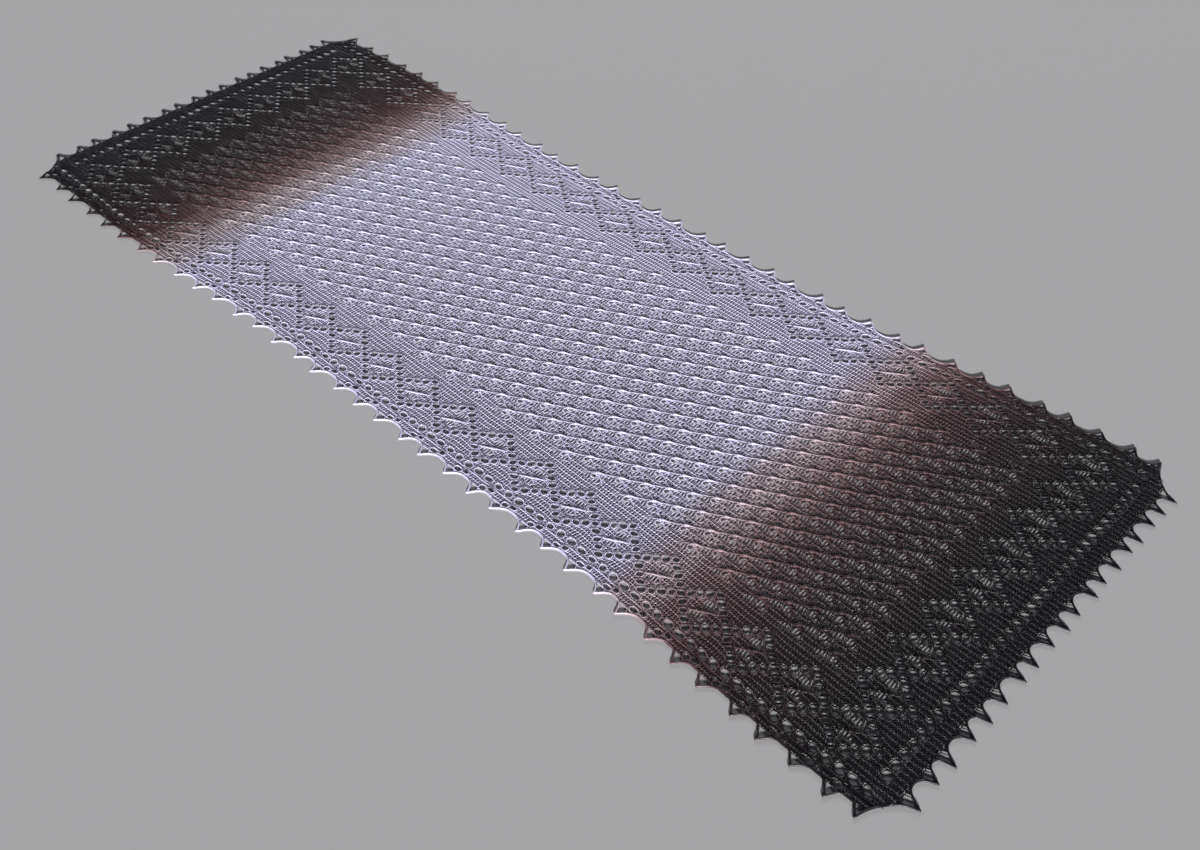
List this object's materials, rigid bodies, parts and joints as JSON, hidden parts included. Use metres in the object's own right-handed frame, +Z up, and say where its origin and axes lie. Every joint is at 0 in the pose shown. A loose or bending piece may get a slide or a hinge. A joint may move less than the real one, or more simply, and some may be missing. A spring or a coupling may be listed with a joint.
{
  "type": "lace shawl",
  "caption": "Long knitted lace stole laid flat, with a lattice centre, a bordered frame of eyelets and diamonds, and a pointed toothed edging.",
  "frame": {"origin": "middle of the flat underside, on the surface the stole lies on", "axes": "+X along the stole from its far end to its near end, +Y across it, +Z up from the surface"},
  "size_m": [1.7852, 0.682, 0.0022],
  "materials": {
    "yarn_centre": "fine matt lace yarn, off-white lilac in the middle, turning through rose and brown to near black at both ends",
    "yarn_border": "fine matt lace yarn, off-white lilac in the middle, turning through rose and brown to near black at both ends",
    "yarn_edging": "doubled lace yarn, off-white lilac in the middle, turning through rose and brown to near black at both ends",
    "yarn_dark": "fine lace yarn, near-black brown with a faint silvery sheen"
  },
  "bodies": {
    "root": {"centre_panel": "yarn_centre", "border_front": "yarn_border", "border_back": "yarn_border", "border_near": "yarn_dark", "border_far": "yarn_dark", "edging_front": "yarn_edging", "edging_back": "yarn_edging", "edging_near": "yarn_dark", "edging_far": "yarn_dark"}
  },
  "joints": []
}
